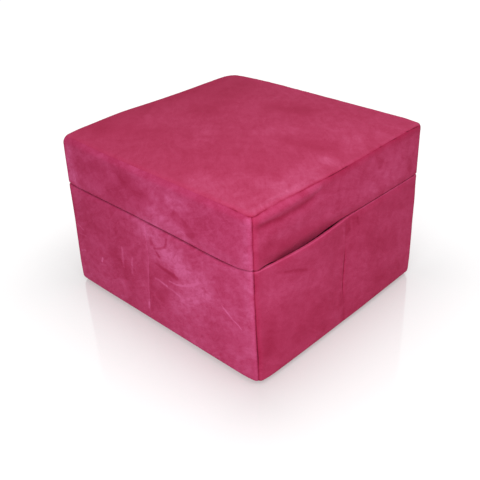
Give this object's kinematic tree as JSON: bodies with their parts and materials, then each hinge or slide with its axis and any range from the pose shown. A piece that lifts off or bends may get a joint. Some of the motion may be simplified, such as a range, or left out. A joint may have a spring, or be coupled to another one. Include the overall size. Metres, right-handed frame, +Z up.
{
  "type": "jewelry box",
  "caption": "Padded box with a sewn faux-suede cover, a hinged lid with a mirror, and a lift-out tray with ring rolls over a divided bottom.",
  "frame": {"origin": "middle of the underside, on the surface that the box stands on", "axes": "+Z up, +X to the box's right, -Y to its front; the lid's hinges are at the back, +Y"},
  "size_m": [0.203, 0.1913, 0.132],
  "materials": {
    "cover_suede": "brushed raspberry nap",
    "wadding": "dyed felted wadding",
    "felt": "pressed felt",
    "lining_suede": "short ivory nap",
    "tray_suede": "short ivory nap over board",
    "ribbon": "satin ribbon",
    "board": "raw fibreboard",
    "brass": "lacquered brass",
    "steel": "plated steel",
    "magnet": "nickel-plated magnet",
    "mirror": "silvered glass"
  },
  "bodies": {
    "base": {"underside_sheet": "felt", "base_floor": "board", "base_wall_front": "board", "base_wall_back": "board", "base_wall_left": "board", "base_wall_right": "board", "base_wadding": "wadding", "base_cover_front": "cover_suede", "base_cover_left": "cover_suede", "base_cover_back": "cover_suede", "base_cover_right_front": "cover_suede", "base_cover_right_rear": "cover_suede", "base_lining": "lining_suede", "floor_pad": "lining_suede", "lower_divider_long": "tray_suede", "lower_divider_cross": "tray_suede", "tray_ledge_left": "tray_suede", "tray_ledge_right": "tray_suede", "catch_plates": "steel", "hinge_base_leaf_left": "brass", "hinge_base_leaf_right": "brass", "hinge_pin_left": "brass", "hinge_pin_right": "brass", "hinge_base_screws": "brass"},
    "lid": {"lid_top_board": "board", "lid_wall_front": "board", "lid_wall_back": "board", "lid_wall_left": "board", "lid_wall_right": "board", "lid_top_wadding": "wadding", "lid_side_wadding": "wadding", "lid_cover_top": "cover_suede", "lid_cover_front": "cover_suede", "lid_cover_left": "cover_suede", "lid_cover_back": "cover_suede", "lid_cover_right": "cover_suede", "lid_lining": "lining_suede", "mirror": "mirror", "mirror_frame": "lining_suede", "lid_magnets": "magnet", "hinge_lid_leaf_left": "brass", "hinge_lid_leaf_right": "brass", "hinge_lid_screws": "brass"},
    "tray": {"tray_floor": "tray_suede", "tray_wall_front": "tray_suede", "tray_wall_back": "tray_suede", "tray_wall_left": "tray_suede", "tray_wall_right": "tray_suede", "tray_divider_long": "tray_suede", "tray_divider_cross_left": "tray_suede", "tray_divider_cross_right": "tray_suede", "ring_rolls": "lining_suede", "tray_tab_left": "ribbon", "tray_tab_right": "ribbon"}
  },
  "joints": [
    {"name": "lid_hinge", "type": "hinge", "parent": "base", "child": "lid", "pos_m": [0, 0.0956, 0.091], "axis": [-1, 0, 0], "range_deg": [0, 100]},
    {"name": "tray_lift", "type": "slide", "parent": "base", "child": "tray", "axis": [0, 0, 1], "range_m": [0, 0.018]}
  ]
}
